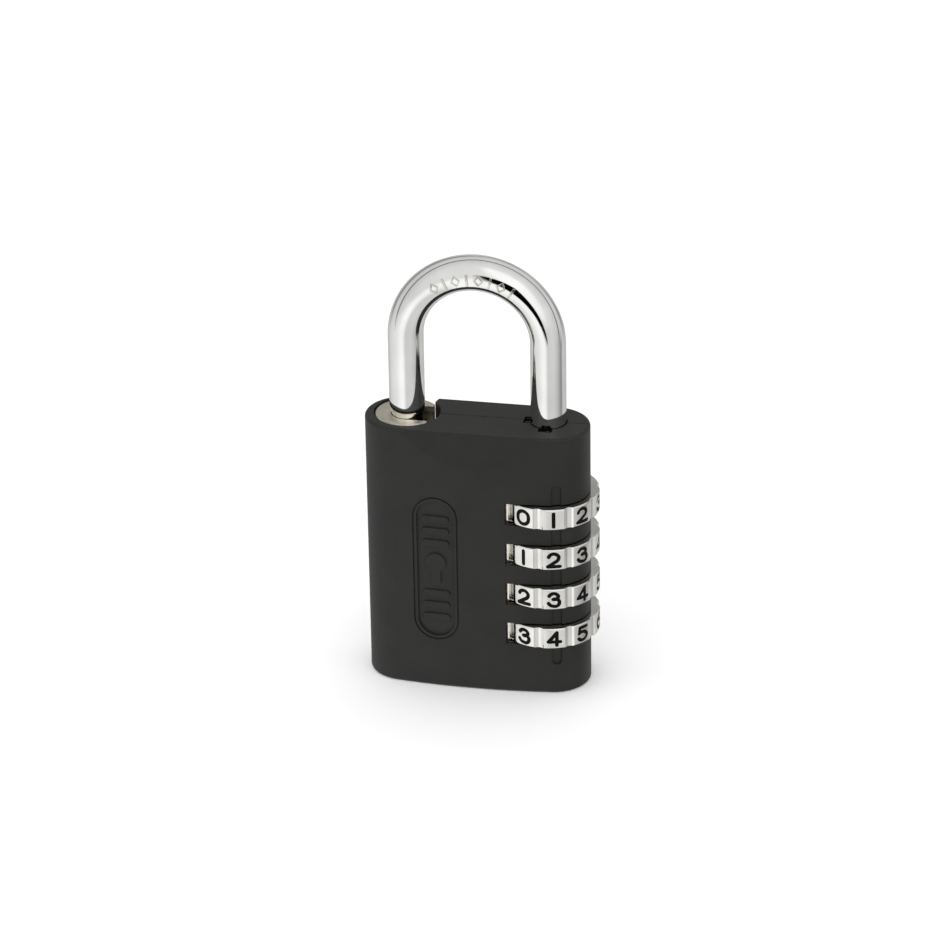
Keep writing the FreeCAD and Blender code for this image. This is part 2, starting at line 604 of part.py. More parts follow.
# Each digit is a list of pen strokes: two points for a line, three for an arc through the middle one.
STROKES = {
    0: [
        ((-HW, ROUND), (0, HH), (HW, ROUND)),
        ((HW, ROUND), (HW, -ROUND)),
        ((HW, -ROUND), (0, -HH), (-HW, -ROUND)),
        ((-HW, -ROUND), (-HW, ROUND)),
    ],
    1: [((0, HH), (0, -HH))],
    2: [
        ((-1.15, 0.8), (-0.1, HH), (1.1, 0.75)),
        ((1.1, 0.75), (1.0, 0.2), (0.55, -0.3)),
        ((0.55, -0.3), (-HW, -HH)),
        ((-HW, -HH), (HW, -HH)),
    ],
    3: [
        ((-1.1, 0.95), (-0.1, HH), (0.95, 0.85)),
        ((0.95, 0.85), (0.65, 0.3), (-0.2, 0.12)),
        ((-0.2, 0.12), (1.2, -0.7), (-0.1, -HH)),
        ((-0.1, -HH), (-0.85, -1.35), (-1.25, -0.85)),
    ],
    4: [((0.55, HH), (-HW, -0.75)), ((-HW, -0.75), (HW, -0.75)), ((0.55, HH), (0.55, -HH))],
    5: [
        ((1.1, HH), (-0.85, HH)),
        ((-0.85, HH), (-1.05, 0.15)),
        ((-1.05, 0.15), (0.3, 0.4), (1.2, -0.6)),
        ((1.2, -0.6), (0.1, -HH), (-1.2, -1.05)),
    ],
    6: [
        ((0.95, 1.45), (-0.85, 0.95), (-1.15, -0.55)),
        ((-1.15, -0.55), (0, 0.45), (1.15, -0.55)),
        ((1.15, -0.55), (0, -HH), (-1.15, -0.55)),
    ],
    7: [((-HW, HH), (HW, HH)), ((HW, HH), (-0.4, -HH))],
    8: [
        ((-0.95, 0.85), (0, HH), (0.95, 0.85)),
        ((0.95, 0.85), (0, 0.1), (-0.95, 0.85)),
        ((-1.2, -0.75), (0, 0.1), (1.2, -0.75)),
        ((1.2, -0.75), (0, -HH), (-1.2, -0.75)),
    ],
}
STROKES[9] = [tuple((-x, -z) for x, z in stroke) for stroke in STROKES[6]]


def stroke_solid(stroke):
    """One pen stroke with round ends, cut into the front of a ring on the Z axis."""
    y0, y1 = -RING_RADIUS - 1, -RING_RADIUS + DIGIT_DEPTH
    half = DIGIT_STROKE / 2
    points = [V(x, y0, z) for x, z in stroke]
    ends = [Part.makeCylinder(half, y1 - y0, p, V(0, 1, 0)) for p in (points[0], points[-1])]
    if len(points) == 2:
        along = (points[1] - points[0]).normalize()
        side = V(along.z, 0, -along.x) * half
        corners = [points[0] + side, points[1] + side, points[1] - side, points[0] - side]
        face = Part.Face(Part.makePolygon(corners + corners[:1]))
    else:
        arc = Part.Arc(*points).toShape().Curve
        centre = arc.Center

        def at(p, radius):
            return centre + (p - centre).normalize() * radius

        outer = [at(p, arc.Radius + half) for p in points]
        inner = [at(p, arc.Radius - half) for p in points]
        face = Part.Face(
            Part.Wire(
                [
                    Part.Arc(*outer).toShape(),
                    Part.LineSegment(outer[2], inner[2]).toShape(),
                    Part.Arc(inner[2], inner[1], inner[0]).toShape(),
                    Part.LineSegment(inner[0], outer[0]).toShape(),
                ]
            )
        )
    return face.extrude(V(0, y1 - y0, 0)).fuse(ends)


def digit_solid(digit):
    """A digit as one cutting solid, in front of a ring on the Z axis."""
    parts = [stroke_solid(s) for s in STROKES[digit]]
    solid = parts[0].fuse(parts[1:]) if len(parts) > 1 else parts[0]
    return solid.removeSplitter()


def number_ring():
    """The ring and its digits' infill on the Z axis, with 0 in front."""
    half = RING_HEIGHT / 2
    ring = Part.makeCylinder(RING_RADIUS, RING_HEIGHT, V(0, 0, -half))
    rims = [e for e in ring.Edges if e.BoundBox.ZMax - e.BoundBox.ZMin < EPS]
    ring = ring.makeChamfer(RING_EDGE_CHAMFER, rims)
    step = 360.0 / DIGITS
    distance = RING_RADIUS - SCALLOP_DEPTH + SCALLOP_RADIUS
    scallop = Part.makeCylinder(SCALLOP_RADIUS, RING_HEIGHT + 2, V(0, -distance, -half - 1))
    scallops = [turned(scallop, (n + 0.5) * step, 0) for n in range(DIGITS)]
    bore = Part.makeCylinder(RING_BORE_RADIUS, RING_HEIGHT + 2, V(0, 0, -half - 1))
    ring = ring.cut([bore] + scallops)
    lug_top = half - 0.2
    lug = block(
        -CLUTCH_WIDTH / 2,
        CLUTCH_WIDTH / 2,
        -RING_BORE_RADIUS - 0.2,
        -RING_BORE_RADIUS + CLUTCH_DEPTH,
        lug_top - CLUTCH_HEIGHT,
        lug_top,
    )
    ring = ring.fuse([turned(lug, n * step, 0) for n in range(DIGITS)])
    tools = [turned(digit_solid(d), d * step, 0) for d in range(DIGITS)]
    infill = Part.makeCylinder(RING_RADIUS - INFILL_DEPTH, RING_HEIGHT, V(0, 0, -half))
    painted = [tool.common(infill) for tool in tools]
    return ring.cut(tools), Part.makeCompound(painted)


def gate_hub():
    """A hub on the Z axis with its gate in front, its top at zero."""
    hub = Part.makeCylinder(HUB_RADIUS, HUB_HEIGHT, V(0, 0, -HUB_HEIGHT))
    leg = Part.makeCylinder(LEG_BORE_RADIUS + 0.05, HUB_HEIGHT + 2, V(0, 0, -HUB_HEIGHT - 1))
    chamber = Part.makeCylinder(CHAMBER_RADIUS, HUB_HEIGHT - GATE_PLATE, V(0, 0, -HUB_HEIGHT))
    half = FIN_WIDTH / 2 + KEYWAY_SIDE_CLEARANCE
    gate = block(-half, half, -CHAMBER_RADIUS, 0, -HUB_HEIGHT, 1)
    slot_half = CLUTCH_WIDTH / 2 + HUB_CLEARANCE
    slot_floor = -(CLUTCH_HEIGHT + 0.3)
    slot_inner = -RING_BORE_RADIUS + CLUTCH_DEPTH + HUB_CLEARANCE
    slot = block(-slot_half, slot_half, -FAR, slot_inner, slot_floor, 1)
    slots = [turned(slot, INDEX_ANGLE + n * 360.0 / DIGITS, 0) for n in range(DIGITS)]
    return hub.cut([leg, chamber, gate] + slots)


def wheels():
    """The four number wheels, each a ring, its infill and its hub."""
    ring, infill = number_ring()
    hub = gate_hub()
    made = {}
    for i in range(WHEELS):
        number = WHEELS - i
        angle = INDEX_ANGLE - CODE[i] * 360.0 / DIGITS
        for name, shape in (("number_ring", ring), ("digit_infill", infill)):
            piece = turned(shape, angle, 0)
            piece.translate(V(HEEL_X, 0, wheel_z(i)))
            made[f"{name}_{number}"] = piece
        made[f"gate_hub_{number}"] = hub.translated(V(HEEL_X, 0, hub_top(i)))
    return made


# ---- toe rotor and key cylinder


def toe_rotor():
    """The slotted disc that holds the toe, on its shaft."""
    disc = cylinder(ROTOR_RADIUS, ROTOR_DISC_BOTTOM, ROTOR_TOP, TOE_X)
    rim = [e for e in disc.Edges if e.BoundBox.ZMin > ROTOR_TOP - EPS]
    disc = disc.makeChamfer(0.2, rim)
    open_end = block(TOE_X + ROTOR_FLAT, FAR, -FAR, FAR, ROTOR_SLOT_FLOOR, FAR)
    seat = cylinder(SLOT_HALF_WIDTH, ROTOR_SLOT_FLOOR, FAR, TOE_X)
    slot = block(TOE_X, FAR, -SLOT_HALF_WIDTH, SLOT_HALF_WIDTH, ROTOR_SLOT_FLOOR, FAR)
    disc = disc.cut([open_end, seat, slot])
    shaft = cylinder(ROTOR_SHAFT_RADIUS, ROTOR_SHAFT_BOTTOM, ROTOR_DISC_BOTTOM, TOE_X)
    rotor = disc.fuse(shaft)
    half = TONGUE_WIDTH / 2 + BEARING_CLEARANCE
    tongue = block(-FAR, FAR, -half, half, ROTOR_SHAFT_BOTTOM - 1, PLUG_TOP + TONGUE_HEIGHT + 0.2)
    middle = ROTOR_DISC_BOTTOM - ROTOR_GROOVE_DROP
    low, high = middle - ROTOR_GROOVE_HEIGHT / 2, middle + ROTOR_GROOVE_HEIGHT / 2
    groove = cylinder(ROTOR_SHAFT_RADIUS + 1, low, high, TOE_X)
    groove = groove.cut(cylinder(ROTOR_SHAFT_RADIUS - RETAINING_PIN_RADIUS - 0.1, low, high, TOE_X))
    return rotor.cut([tongue, groove]).removeSplitter()


def key_plug():
    """The part of the cylinder that the key turns, with its keyway and pin holes."""
    face_top = PLUG_FACE_DROP + PLUG_FACE_THICKNESS
    face = cylinder(PLUG_FACE_RADIUS, PLUG_FACE_DROP, face_top, TOE_X)
    barrel = cylinder(SHEAR_RADIUS, PLUG_FACE_DROP, PLUG_TOP, TOE_X)
    half = TONGUE_WIDTH / 2
    tongue = block(TOE_X - FAR, TOE_X + FAR, -half, half, PLUG_TOP - EPS, PLUG_TOP + TONGUE_HEIGHT)
    tongue = tongue.common(cylinder(SHEAR_RADIUS - 0.1, 0, FAR, TOE_X))
    keyway = block(
        TOE_X - KEYWAY_LENGTH / 2,
        TOE_X + KEYWAY_LENGTH / 2,
        -KEYWAY_WIDTH / 2,
        KEYWAY_WIDTH / 2,
        -1,
        PLUG_FACE_DROP + KEYWAY_DEPTH,
    )
    ward = block(TOE_X - 0.9, TOE_X + 0.9, 0, KEYWAY_WIDTH, -1, PLUG_FACE_DROP + KEYWAY_DEPTH)
    holes = [
        along_x(PIN_RADIUS + BEARING_CLEARANCE, TOE_X + 0.5, TOE_X + SHEAR_RADIUS + 1, pin_z(n))
        for n in range(PINS)
    ]
    return face.fuse([barrel, tongue]).cut([keyway, ward] + holes).removeSplitter()


def tumblers():
    """The key pins, driver pins and their springs, with the key pins up to the shear line."""
    shear = TOE_X + SHEAR_RADIUS - 0.08
    keys, drivers, springs = [], [], []
    for n in range(PINS):
        z = pin_z(n)
        keys.append(along_x(PIN_RADIUS, shear - KEY_PIN_LENGTHS[n], shear, z))
        start = TOE_X + ROTOR_BORE_RADIUS + 0.08
        drivers.append(along_x(PIN_RADIUS, start, start + DRIVER_PIN_LENGTH - 0.2, z))
        length = PIN_SPRING_LENGTH - 0.2
        spring = coil(PIN_RADIUS - PIN_SPRING_WIRE, PIN_SPRING_WIRE, 0, length, PIN_SPRING_TURNS, 0)
        spring.rotate(V(0, 0, 0), V(0, 1, 0), 90)
        spring.translate(V(chamber_end() - length, 0, z))
        springs.append(spring)
    return {
        "key_pins": Part.makeCompound(keys),
        "driver_pins": Part.makeCompound(drivers),
        "pin_springs": Part.makeCompound(springs),
    }


def main():
    """Builds every piece and writes one STEP file for each node."""
    os.makedirs("parts", exist_ok=True)
    pieces = {**jacket(), "lock_core": core(), **core_fittings()}
    pieces.update({"shackle": shackle(), "heel_clip": heel_clip(), **wheels()})
    pieces.update({"toe_rotor": toe_rotor(), "key_plug": key_plug(), **tumblers()})
    for name, shape in sorted(pieces.items()):
        solids = [round(s.Volume, 2) for s in shape.Solids]
        print(f"{name}: {len(solids)} solid(s), valid {shape.isValid()}, {sum(solids):.1f} mm3")
        shape.exportStep(f"parts/{name}.step")


main()
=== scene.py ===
"""Looks of a four-wheel combination padlock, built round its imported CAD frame. Metres, +Z up."""

import sys
import json
import logging
import math
from dataclasses import dataclass, field
from enum import Enum
from typing import Any

import bmesh
import bpy
from mathutils import Matrix, Vector


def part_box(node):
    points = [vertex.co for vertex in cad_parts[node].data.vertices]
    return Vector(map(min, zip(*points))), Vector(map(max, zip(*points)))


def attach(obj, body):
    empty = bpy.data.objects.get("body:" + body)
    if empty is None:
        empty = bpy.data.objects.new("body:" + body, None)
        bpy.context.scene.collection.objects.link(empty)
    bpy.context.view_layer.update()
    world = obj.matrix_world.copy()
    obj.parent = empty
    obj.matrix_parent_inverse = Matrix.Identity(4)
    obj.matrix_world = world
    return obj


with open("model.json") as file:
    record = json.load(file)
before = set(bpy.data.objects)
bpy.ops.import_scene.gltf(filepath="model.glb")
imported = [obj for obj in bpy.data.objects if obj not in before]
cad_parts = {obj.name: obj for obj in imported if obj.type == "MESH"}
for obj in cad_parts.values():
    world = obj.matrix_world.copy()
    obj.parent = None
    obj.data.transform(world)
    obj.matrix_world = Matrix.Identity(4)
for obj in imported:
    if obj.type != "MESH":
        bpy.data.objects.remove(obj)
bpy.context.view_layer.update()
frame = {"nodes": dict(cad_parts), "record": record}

MM = 0.001
log = logging.getLogger("padlock")

# ---------------------------------------------------------------- names


class Body(Enum):
    """The CAD body that the marks ride on."""

    SHACKLE = "shackle"


class Slot(Enum):
    """The record's material slots."""

    JACKET = "jacket_plastic"
    CASTING = "die_cast_zinc"
    BRIGHT_STEEL = "bright_steel"
    SPRING_STEEL = "spring_steel"
    BRASS = "turned_brass"
    CHROME = "chromed_steel"
    NICKELLED_ZINC = "nickelled_zinc"
    RING = "satin_nickel"
    DIGIT = "digit_paint"


# ---------------------------------------------------------------- colours and nodes


def linear(hex_colour: str) -> tuple[float, float, float, float]:
    """Turns an sRGB hex colour into linear light.

    Args:
        hex_colour: Six hex digits, such as "3a3a38".

    Returns:
        Red, green, blue and an alpha of 1, linear.
    """
    values = [int(hex_colour[i : i + 2], 16) / 255 for i in (0, 2, 4)]
    r, g, b = [v / 12.92 if v <= 0.04045 else ((v + 0.055) / 1.055) ** 2.4 for v in values]
    return r, g, b, 1.0


def node(
    tree: bpy.types.NodeTree,
    kind: str,
    inputs: dict[str | int, Any] | None = None,
    links: dict[str | int, bpy.types.NodeSocket] | None = None,
    **settings: Any,
) -> bpy.types.Node:
    """Adds one node with its settings, socket values and links.

    Args:
        tree: The node tree.
        kind: The node's type name.
        inputs: Values set on its input sockets.
        links: Sockets that feed its input sockets.
        **settings: Properties of the node.

    Returns:
        The new node.
    """
    made = tree.nodes.new(kind)
    for name, value in settings.items():
        setattr(made, name, value)
    for key, value in (inputs or {}).items():
        made.inputs[key].default_value = value
    for key, socket in (links or {}).items():
        tree.links.new(socket, made.inputs[key])
    return made


def ramp(
    tree: bpy.types.NodeTree, source: bpy.types.NodeSocket, stops: list[tuple[float, Any]]
) -> bpy.types.NodeSocket:
    """Adds a colour ramp.

    Args:
        tree: The node tree.
        source: The socket that drives it.
        stops: Positions with their grey value or linear colour.

    Returns:
        The ramp's colour socket.
    """
    made = node(tree, "ShaderNodeValToRGB", links={"Fac": source})
    elements = made.color_ramp.elements
    elements.remove(elements[-1])
    elements[0].position = stops[0][0]
    for position, _ in stops[1:]:
        elements.new(position)
    for element, (_, colour) in zip(elements, stops):
        element.color = colour if isinstance(colour, tuple) else (colour, colour, colour, 1.0)
    return made.outputs["Color"]


def start_material(
    name: str,
) -> tuple[bpy.types.Material, bpy.types.NodeTree, bpy.types.NodeSocket]:
    """Makes an empty node material.

    Args:
        name: The material's name.

    Returns:
        The material, its tree and its Object coordinate socket.
    """
    material = bpy.data.materials.new(name)
    material.use_nodes = True
    tree = material.node_tree
    tree.nodes.clear()
    coordinates = node(tree, "ShaderNodeTexCoord").outputs["Object"]
    return material, tree, coordinates


def end_material(
    tree: bpy.types.NodeTree,
    inputs: dict[str | int, Any],
    links: dict[str | int, bpy.types.NodeSocket],
) -> None:
    """Adds the Principled shader and the output.

    Args:
        tree: The node tree.
        inputs: Constant values for the shader's sockets.
        links: Sockets that feed the shader's sockets.
    """
    shader = node(tree, "ShaderNodeBsdfPrincipled", inputs, links)
    node(tree, "ShaderNodeOutputMaterial", links={"Surface": shader.outputs["BSDF"]})


def scale_for(size_mm: float) -> float:
    """The Scale of a noise whose features are about this many millimetres across."""
    return 1.0 / (size_mm * MM)


# ---------------------------------------------------------------- finishes


@dataclass(frozen=True)
class MouldedPlastic:
    """Injection-moulded glass-filled nylon from a spark-eroded mould.

    Its fine even grain breaks the light into a soft satin sheen, and the soft corners catch a
    line of light.
    """

    name: str = "charcoal_moulded_nylon"
    light: str = "222220"
    dark: str = "1e1e1d"
    grain_mm: float = 0.35  # spark erosion leaves 0.05 mm pits, drawn coarser so that they show
    grain_depth_mm: float = 0.012
    edge_mm: float = 0.18

    def build(self) -> bpy.types.Material:
        """Returns the material."""
        material, tree, at = start_material(self.name)
        cloud = node(
            tree, "ShaderNodeTexNoise", {"Scale": scale_for(9.0), "Detail": 2.0}, {"Vector": at}
        )
        grain = node(
            tree,
            "ShaderNodeTexNoise",
            {"Scale": scale_for(self.grain_mm), "Detail": 3.0, "Roughness": 0.6},
            {"Vector": at},
        )
        colour = ramp(
            tree, cloud.outputs["Fac"], [(0.35, linear(self.dark)), (0.65, linear(self.light))]
        )
        rough = ramp(tree, grain.outputs["Fac"], [(0.3, 0.44), (0.7, 0.56)])
        edge = node(tree, "ShaderNodeBevel", {"Radius": self.edge_mm * MM}, samples=6)
        bump = node(
            tree,
            "ShaderNodeBump",
            {"Strength": 0.55, "Distance": self.grain_depth_mm * MM},
            {"Height": grain.outputs["Fac"], "Normal": edge.outputs["Normal"]},
        )
        end_material(
            tree,
            {"IOR": 1.5, "Specular IOR Level": 0.3},
            {"Base Color": colour, "Roughness": rough, "Normal": bump.outputs["Normal"]},
        )
        return material


@dataclass(frozen=True)
class PlatedMetal:
    """Electroplated metal, polished or satin.

    A mirror plate throws back the studio sharply. A satin one spreads each highlight and shows a
    faint grain.
    """

    name: str
    colour: str
    shade: str
    roughness: float
    roughness_spread: float
    grain_mm: float
    grain_depth_mm: float
    wave_mm: float = 6.0  # the slow unevenness that polishing leaves
    wave_depth_mm: float = 0.01
    edge_mm: float = 0.12

    def build(self) -> bpy.types.Material:
        """Returns the material."""
        material, tree, at = start_material(self.name)
        grain = node(
            tree,
            "ShaderNodeTexNoise",
            {"Scale": scale_for(self.grain_mm), "Detail": 4.0, "Roughness": 0.65},
            {"Vector": at},
        )
        wave = node(
            tree,
            "ShaderNodeTexNoise",
            {"Scale": scale_for(self.wave_mm), "Detail": 1.0},
            {"Vector": at},
        )
        colour = ramp(
            tree, wave.outputs["Fac"], [(0.3, linear(self.shade)), (0.7, linear(self.colour))]
        )
        low = max(self.roughness - self.roughness_spread, 0.0)
        rough = ramp(
            tree, grain.outputs["Fac"], [(0.3, low), (0.7, self.roughness + self.roughness_spread)]
        )
        edge = node(tree, "ShaderNodeBevel", {"Radius": self.edge_mm * MM}, samples=6)
        slow = node(
            tree,
            "ShaderNodeBump",
            {"Strength": 0.5, "Distance": self.wave_depth_mm * MM},
            {"Height": wave.outputs["Fac"], "Normal": edge.outputs["Normal"]},
        )
        bump = node(
            tree,
            "ShaderNodeBump",
            {"Strength": 0.6, "Distance": self.grain_depth_mm * MM},
            {"Height": grain.outputs["Fac"], "Normal": slow.outputs["Normal"]},
        )
        end_material(
            tree,
            {"Metallic": 1.0},
            {"Base Color": colour, "Roughness": rough, "Normal": bump.outputs["Normal"]},
        )
        return material


@dataclass(frozen=True)
class TurnedMetal:
    """Metal turned on a lathe about an upright axis.

    The tool leaves fine rings, which draw the highlight out across them.
    """

    name: str
    colour: str
    shade: str
    roughness: float
    axis_mm: tuple[float, float]
    feed_mm: float = 0.3  # real feed is about 0.1 mm, drawn coarser so that it shows
    ring_depth_mm: float = 0.006

    def build(self) -> bpy.types.Material:
        """Returns the material."""
        material, tree, at = start_material(self.name)
        x, y = self.axis_mm
        centred = node(
            tree, "ShaderNodeMapping", {"Location": (-x * MM, -y * MM, 0.0)}, {"Vector": at}
        )
        rings = node(
            tree,
            "ShaderNodeTexWave",
            {"Scale": scale_for(self.feed_mm) / 20, "Distortion": 0.4, "Detail": 1.0},
            {"Vector": centred.outputs["Vector"]},
            wave_type="RINGS",
            rings_direction="SPHERICAL",
        )
        cloud = node(
            tree, "ShaderNodeTexNoise", {"Scale": scale_for(1.5), "Detail": 3.0}, {"Vector": at}
        )
        colour = ramp(
            tree, cloud.outputs["Fac"], [(0.3, linear(self.shade)), (0.7, linear(self.colour))]
        )
        rough = ramp(
            tree, rings.outputs["Fac"], [(0.0, self.roughness - 0.05), (1.0, self.roughness + 0.07)]
        )
        edge = node(tree, "ShaderNodeBevel", {"Radius": 0.1 * MM}, samples=6)
        bump = node(
            tree,
            "ShaderNodeBump",
            {"Strength": 0.6, "Distance": self.ring_depth_mm * MM},
            {"Height": rings.outputs["Fac"], "Normal": edge.outputs["Normal"]},
        )
        end_material(
            tree,
            {"Metallic": 1.0},
            {"Base Color": colour, "Roughness": rough, "Normal": bump.outputs["Normal"]},
        )
        return material


@dataclass(frozen=True)
class CastMetal:
    """Die-cast zinc, drawn near-black, with a painted highlight at the front of the wheel bays.

    The near-black colour keeps the toe's pocket dark. The painted highlight is a bright metallic
    strip beside each wheel, standing in for light caught there.
    """

    name: str = "near_black_die_cast_zinc_with_painted_highlight"
    # painted highlight: the colour of the bright strip beside each wheel
    bright: str = "f0ece2"
    light: str = "161616"
    dark: str = "0e0e0e"
    bays_mm: tuple[float, float] = (16.0, 0.0)  # the wheels' axis, X and Y
    highlight_reach_mm: float = 12.12  # how far the painted highlight reaches from the wheels' axis
    highlight_front_mm: float = -6.0  # the painted highlight is only in front of this Y
    highlight_roughness: float = 0.16

    def build(self) -> bpy.types.Material:
        """Returns the material."""
        material, tree, at = start_material(self.name)
        x, y = self.bays_mm
        centred = node(
            tree,
            "ShaderNodeMapping",
            {"Location": (-x * MM, -y * MM, 0.0), "Scale": (1.0, 1.0, 0.0)},
            {"Vector": at},
        )
        reach = node(
            tree,
            "ShaderNodeVectorMath",
            links={0: centred.outputs["Vector"]},
            operation="LENGTH",
        )
        near = node(
            tree,
            "ShaderNodeMath",
            {1: self.highlight_reach_mm * MM},
            {0: reach.outputs["Value"]},
            operation="LESS_THAN",
        )
        split = node(tree, "ShaderNodeSeparateXYZ", links={"Vector": at})
        ahead = node(
            tree,
            "ShaderNodeMath",
            {1: self.highlight_front_mm * MM},
            {0: split.outputs["Y"]},
            operation="LESS_THAN",
        )
        # painted highlight mask: near the wheels' axis and in front of the bays
        painted_highlight_mask = node(
            tree,
            "ShaderNodeMath",
            links={0: near.outputs["Value"], 1: ahead.outputs["Value"]},
            operation="MULTIPLY",
        ).outputs["Value"]
        flow = node(
            tree,
            "ShaderNodeTexNoise",
            {"Scale": scale_for(5.0), "Detail": 4.0, "Distortion": 1.2},
            {"Vector": at},
        )
        skin = node(
            tree,
            "ShaderNodeTexNoise",
            {"Scale": scale_for(0.4), "Detail": 3.0},
            {"Vector": at},
        )
        # near-black all over, which keeps the toe's pocket dark
        near_black_colour = ramp(tree, flow.outputs["Fac"], [(0.3, linear(self.dark)), (0.7, linear(self.light))])
        colour = node(
            tree,
            "ShaderNodeMix",
            {7: linear(self.bright)},
            {"Factor": painted_highlight_mask, 6: near_black_colour},
            data_type="RGBA",
        )
        skin_rough = ramp(tree, flow.outputs["Fac"], [(0.3, 0.34), (0.7, 0.46)])
        rough = node(
            tree,
            "ShaderNodeMix",
            {3: self.highlight_roughness},
            {"Factor": painted_highlight_mask, 2: skin_rough},
            data_type="FLOAT",
        )
        bump = node(
            tree,
            "ShaderNodeBump",
            {"Strength": 0.6, "Distance": 0.02 * MM},
            {"Height": skin.outputs["Fac"]},
        )
        end_material(
            tree,
            {"Specular IOR Level": 0.2},
            {
                "Metallic": painted_highlight_mask,
                "Base Color": colour.outputs[2],
                "Roughness": rough.outputs[0],
                "Normal": bump.outputs["Normal"],
            },
        )
        return material


@dataclass(frozen=True)
class InfillPaint:
    """Black enamel wiped into the digits: it settles with a slightly uneven, half-gloss face."""

    name: str = "black_infill_enamel"
    light: str = "0a0a0a"
    dark: str = "040404"

    def build(self) -> bpy.types.Material:
        """Returns the material."""
        material, tree, at = start_material(self.name)
        pool = node(
            tree,
            "ShaderNodeTexNoise",
            {"Scale": scale_for(0.8), "Detail": 2.0},
            {"Vector": at},
        )
        colour = ramp(
            tree, pool.outputs["Fac"], [(0.3, linear(self.dark)), (0.7, linear(self.light))]
        )
        rough = ramp(tree, pool.outputs["Fac"], [(0.3, 0.38), (0.7, 0.55)])
        bump = node(
            tree,
            "ShaderNodeBump",
            {"Strength": 0.5, "Distance": 0.02 * MM},
            {"Height": pool.outputs["Fac"]},
        )
        end_material(
            tree,
            {"IOR": 1.5, "Specular IOR Level": 0.12},
            {"Base Color": colour, "Roughness": rough, "Normal": bump.outputs["Normal"]},
        )
        return material


@dataclass
class Finishes:
    """Every finish on the lock, by the record's slot."""

    toe_axis_mm: tuple[float, float] = (-16.0, 0.0)
    heel_axis_mm: tuple[float, float] = (16.0, 0.0)
    made: dict[Slot, bpy.types.Material] = field(default_factory=dict)

    def build(self) -> None:
        """Makes the materials."""
        recipes: dict[Slot, Any] = {
            Slot.JACKET: MouldedPlastic(),
            Slot.CASTING: CastMetal(),
            Slot.CHROME: PlatedMetal(
                "chrome_plated_hardened_steel", "e9e9e7", "e0e0de", 0.055, 0.02, 0.5, 0.0006
            ),
            Slot.RING: PlatedMetal(
                "satin_nickel_plated_zinc", "efeeea", "e2e0db", 0.18, 0.05, 0.3, 0.003
            ),
            Slot.NICKELLED_ZINC: TurnedMetal(
                "nickel_plated_turned_zinc", "eae3d3", "dad2c1", 0.32, self.toe_axis_mm
            ),
            Slot.BRASS: TurnedMetal("turned_brass", "c9a860", "b4924a", 0.26, self.toe_axis_mm),
            Slot.BRIGHT_STEEL: TurnedMetal(
                "turned_steel", "b5b4b0", "9f9e9b", 0.3, self.heel_axis_mm
            ),
            Slot.SPRING_STEEL: PlatedMetal(
                "blued_spring_steel", "6c6c70", "545459", 0.35, 0.06, 0.4, 0.004
            ),
            Slot.DIGIT: InfillPaint(),
        }
        self.made = {slot: recipe.build() for slot, recipe in recipes.items()}
        for slot, material in self.made.items():
            log.info("finish %s for slot %s", material.name, slot.value)

    def stamped(self) -> bpy.types.Material:
        """Returns the finish of the marks: duller than the rod, as polishing only grazes them."""
        return PlatedMetal(
            "stamped_chrome_plated_steel", "d8d5ce", "c4c0b8", 0.16, 0.05, 0.4, 0.004
        ).build()

    def dress_nodes(self) -> None:
        """Gives each CAD node the finish of its slot."""
        for part in frame["record"]["subparts"]:
            shown = frame["nodes"][part["node"]]
            material = self.made[Slot(part["material_slot"])]
            if not shown.material_slots:
                shown.data.materials.append(material)
            for place in shown.material_slots:
                place.material = material
            log.info("node %s dressed in %s", part["node"], material.name)


# ---------------------------------------------------------------- shackle


